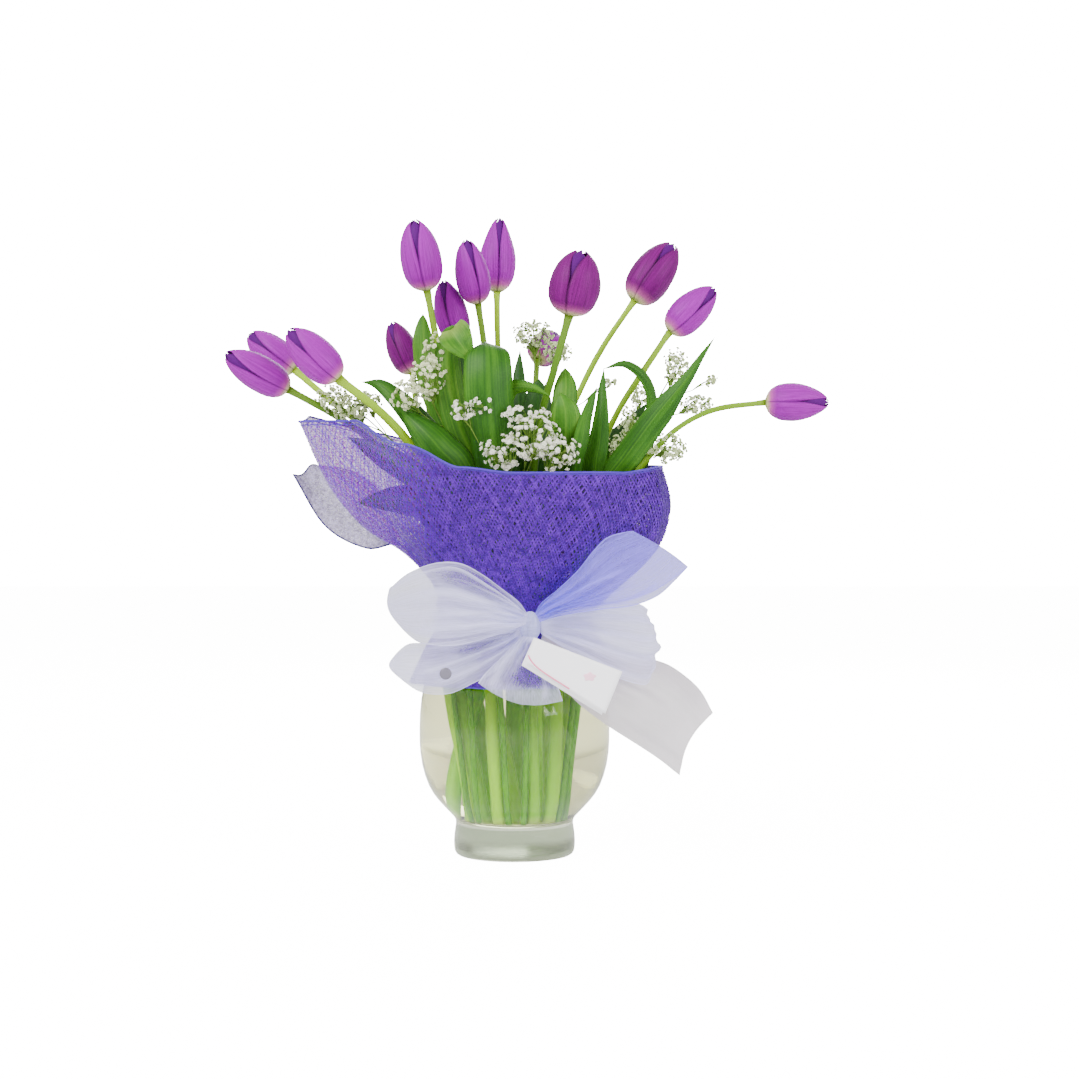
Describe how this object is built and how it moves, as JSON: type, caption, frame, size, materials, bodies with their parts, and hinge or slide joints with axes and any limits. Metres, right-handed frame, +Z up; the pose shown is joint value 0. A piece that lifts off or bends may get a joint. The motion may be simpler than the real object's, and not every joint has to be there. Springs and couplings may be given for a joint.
{
  "type": "tulips in a glass vase",
  "caption": "Cut tulips with leaves and baby's breath in a footed glass vase, wrapped at the neck in violet net and tied with a sheer white bow and a gift card.",
  "frame": {"origin": "middle of the vase's flat underside, on the vase's axis", "axes": "+Z up along the vase's axis, -Y the front with the bow, +X to the right seen from the front"},
  "size_m": [0.4735, 0.2292, 0.5198],
  "materials": {
    "glass": "gloss",
    "water": "gloss",
    "stem": "satin",
    "petal": "satin",
    "sprig": "matte",
    "leaf": "satin",
    "net": "satin",
    "ribbon": "satin",
    "card": "matte",
    "disc": "satin"
  },
  "bodies": {
    "root": {"vase": "glass", "water": "water", "stem_01": "stem", "stem_02": "stem", "stem_03": "stem", "stem_04": "stem", "stem_05": "stem", "stem_06": "stem", "stem_07": "stem", "stem_08": "stem", "stem_09": "stem", "stem_10": "stem", "stem_11": "stem", "stem_12": "stem", "stem_13": "stem", "tulip_head_01": "petal", "tulip_head_02": "petal", "tulip_head_03": "petal", "tulip_head_04": "petal", "tulip_head_05": "petal", "tulip_head_06": "petal", "tulip_head_07": "petal", "tulip_head_08": "petal", "tulip_head_09": "petal", "tulip_head_10": "petal", "tulip_head_11": "petal", "tulip_head_12": "petal", "tulip_head_13": "petal", "sprig_01": "sprig", "sprig_02": "sprig", "sprig_03": "sprig", "sprig_04": "sprig", "sprig_05": "sprig", "sprig_06": "sprig", "sprig_07": "sprig", "leaf_01": "leaf", "leaf_02": "leaf", "leaf_03": "leaf", "leaf_04": "leaf", "leaf_05": "leaf", "leaf_06": "leaf", "leaf_07": "leaf", "leaf_08": "leaf", "leaf_09": "leaf", "leaf_10": "leaf", "leaf_11": "leaf", "leaf_12": "leaf", "leaf_13": "leaf", "leaf_14": "leaf", "wrap": "net", "wrap_fold": "net", "bow_knot": "ribbon", "bow_loop_top_left": "ribbon", "bow_loop_top_right": "ribbon", "bow_loop_low_right": "ribbon", "bow_loop_low_left": "ribbon", "bow_tail_centre": "ribbon", "bow_tail_right": "ribbon", "gift_card": "card", "disc": "disc"}
  },
  "joints": []
}
